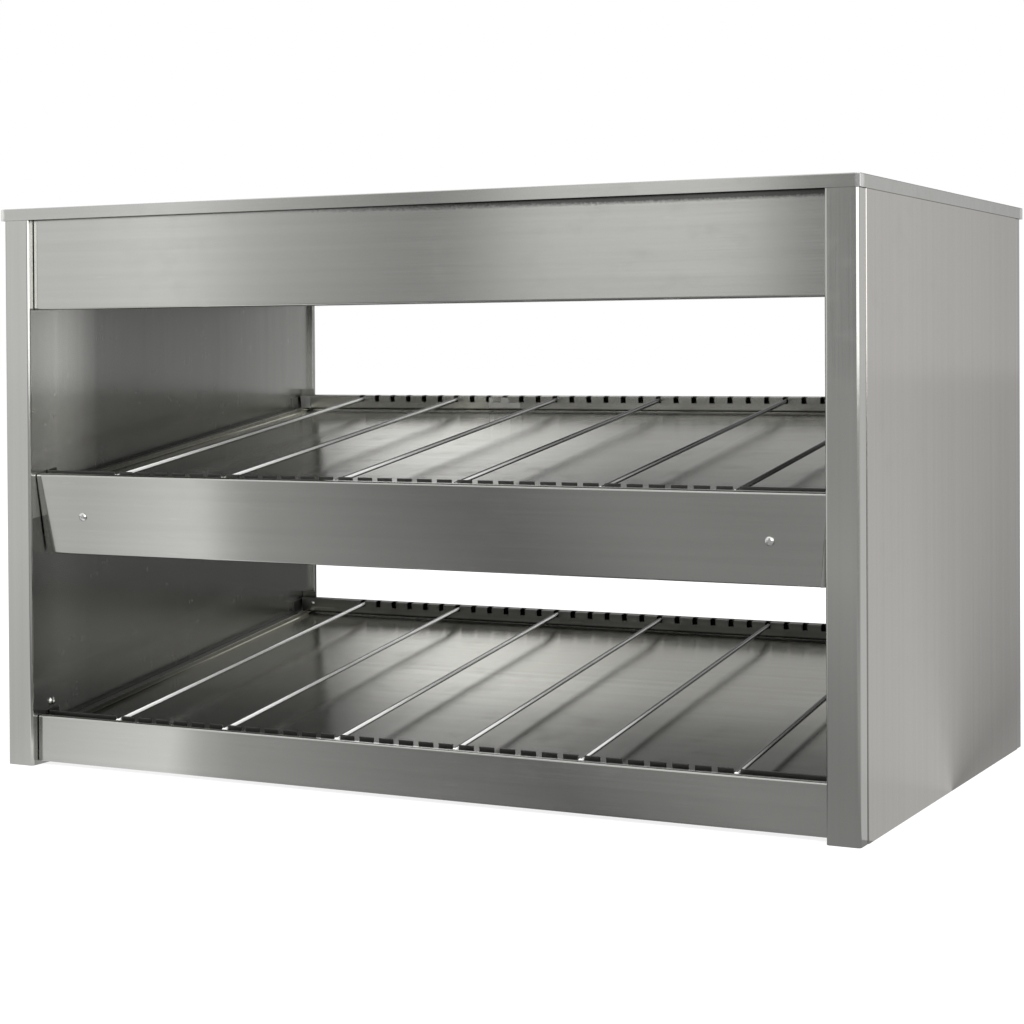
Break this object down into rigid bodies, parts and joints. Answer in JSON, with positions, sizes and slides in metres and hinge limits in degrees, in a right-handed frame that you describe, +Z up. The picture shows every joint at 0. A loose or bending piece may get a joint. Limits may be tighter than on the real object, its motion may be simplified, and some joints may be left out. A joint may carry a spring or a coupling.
{
  "type": "heated display case",
  "caption": "Open two-tier heated display case in brushed stainless steel, with sloping heated trays, notched rails and lift-out divider rods.",
  "frame": {"origin": "on the table, under the middle of the case", "axes": "+X to the right seen from the front, +Y to the back, +Z up; the serving side faces -Y"},
  "size_m": [0.965, 0.575, 0.6],
  "materials": {
    "brushed_steel": "brushed along the length of each panel, satin",
    "inner_steel": "rolled and lightly brushed",
    "plate_steel": "smooth, nearly bright",
    "bright_steel": "bright drawn rod and polished screws",
    "element_sheath": "heat-stained dull",
    "mineral_wool": "pressed fibre slab",
    "black_plastic": "fine moulded texture",
    "white_plastic": "moulded, semi-matt",
    "lamp_lens": "clear amber moulding"
  },
  "bodies": {
    "case": {"left_side_frame": "brushed_steel", "left_side_panel": "brushed_steel", "left_base_channel": "inner_steel", "left_insulation": "mineral_wool", "left_wall_screw": "bright_steel", "right_side_frame": "brushed_steel", "right_side_panel": "brushed_steel", "right_base_channel": "inner_steel", "right_insulation": "mineral_wool", "right_wall_screw": "bright_steel", "top_cover": "brushed_steel", "canopy_front_fascia": "brushed_steel", "canopy_rear_fascia": "brushed_steel", "canopy_ceiling": "inner_steel", "canopy_reflector": "bright_steel", "canopy_heating_element": "element_sheath", "upper_shelf_plate": "plate_steel", "upper_plate_element": "element_sheath", "upper_front_rail": "inner_steel", "upper_rear_rail": "inner_steel", "upper_left_bracket": "inner_steel", "upper_right_bracket": "inner_steel", "upper_shelf_fascia": "brushed_steel", "left_fascia_screw": "bright_steel", "right_fascia_screw": "bright_steel", "upper_shelf_underside": "inner_steel", "upper_shelf_reflector": "bright_steel", "upper_shelf_overhead_element": "element_sheath", "upper_shelf_rear_panel": "brushed_steel", "lower_shelf_plate": "plate_steel", "lower_plate_element": "element_sheath", "lower_front_rail": "inner_steel", "lower_rear_rail": "inner_steel", "lower_left_bracket": "inner_steel", "lower_right_bracket": "inner_steel", "base_front_fascia": "brushed_steel", "base_bottom_cover": "inner_steel", "rear_control_panel": "brushed_steel", "upper_thermostat": "white_plastic", "lower_thermostat": "white_plastic", "upper_pilot_lamp": "lamp_lens", "lower_pilot_lamp": "lamp_lens", "power_switch_housing": "black_plastic", "cable_gland": "black_plastic", "terminal_block": "white_plastic"},
    "upper_rod_1": {"upper_divider_rod_1": "bright_steel"},
    "upper_rod_2": {"upper_divider_rod_2": "bright_steel"},
    "upper_rod_3": {"upper_divider_rod_3": "bright_steel"},
    "upper_rod_4": {"upper_divider_rod_4": "bright_steel"},
    "upper_rod_5": {"upper_divider_rod_5": "bright_steel"},
    "upper_rod_6": {"upper_divider_rod_6": "bright_steel"},
    "lower_rod_1": {"lower_divider_rod_1": "bright_steel"},
    "lower_rod_2": {"lower_divider_rod_2": "bright_steel"},
    "lower_rod_3": {"lower_divider_rod_3": "bright_steel"},
    "lower_rod_4": {"lower_divider_rod_4": "bright_steel"},
    "lower_rod_5": {"lower_divider_rod_5": "bright_steel"},
    "lower_rod_6": {"lower_divider_rod_6": "bright_steel"},
    "power_rocker": {"power_switch_rocker": "black_plastic"},
    "upper_knob": {"upper_heat_knob": "black_plastic"},
    "lower_knob": {"lower_heat_knob": "black_plastic"}
  },
  "joints": [
    {"name": "upper_rod_1_lift", "type": "slide", "parent": "case", "child": "upper_rod_1", "axis": [0, -0.1392, 0.9903], "range_m": [0, 0.03]},
    {"name": "upper_rod_2_lift", "type": "slide", "parent": "case", "child": "upper_rod_2", "axis": [0, -0.1392, 0.9903], "range_m": [0, 0.03]},
    {"name": "upper_rod_3_lift", "type": "slide", "parent": "case", "child": "upper_rod_3", "axis": [0, -0.1392, 0.9903], "range_m": [0, 0.03]},
    {"name": "upper_rod_4_lift", "type": "slide", "parent": "case", "child": "upper_rod_4", "axis": [0, -0.1392, 0.9903], "range_m": [0, 0.03]},
    {"name": "upper_rod_5_lift", "type": "slide", "parent": "case", "child": "upper_rod_5", "axis": [0, -0.1392, 0.9903], "range_m": [0, 0.03]},
    {"name": "upper_rod_6_lift", "type": "slide", "parent": "case", "child": "upper_rod_6", "axis": [0, -0.1392, 0.9903], "range_m": [0, 0.03]},
    {"name": "lower_rod_1_lift", "type": "slide", "parent": "case", "child": "lower_rod_1", "axis": [0, -0.1392, 0.9903], "range_m": [0, 0.03]},
    {"name": "lower_rod_2_lift", "type": "slide", "parent": "case", "child": "lower_rod_2", "axis": [0, -0.1392, 0.9903], "range_m": [0, 0.03]},
    {"name": "lower_rod_3_lift", "type": "slide", "parent": "case", "child": "lower_rod_3", "axis": [0, -0.1392, 0.9903], "range_m": [0, 0.03]},
    {"name": "lower_rod_4_lift", "type": "slide", "parent": "case", "child": "lower_rod_4", "axis": [0, -0.1392, 0.9903], "range_m": [0, 0.03]},
    {"name": "lower_rod_5_lift", "type": "slide", "parent": "case", "child": "lower_rod_5", "axis": [0, -0.1392, 0.9903], "range_m": [0, 0.03]},
    {"name": "lower_rod_6_lift", "type": "slide", "parent": "case", "child": "lower_rod_6", "axis": [0, -0.1392, 0.9903], "range_m": [0, 0.03]},
    {"name": "power_rocker_tilt", "type": "hinge", "parent": "case", "child": "power_rocker", "pos_m": [0.372, 0.2567, 0.058], "axis": [1, 0, 0], "range_deg": [0, 20]},
    {"name": "upper_knob_turn", "type": "hinge", "parent": "case", "child": "upper_knob", "pos_m": [0.268, 0.2629, 0.058], "axis": [0, -1, 0], "range_deg": [0, 270]},
    {"name": "lower_knob_turn", "type": "hinge", "parent": "case", "child": "lower_knob", "pos_m": [0.158, 0.2629, 0.058], "axis": [0, -1, 0], "range_deg": [0, 270]}
  ]
}
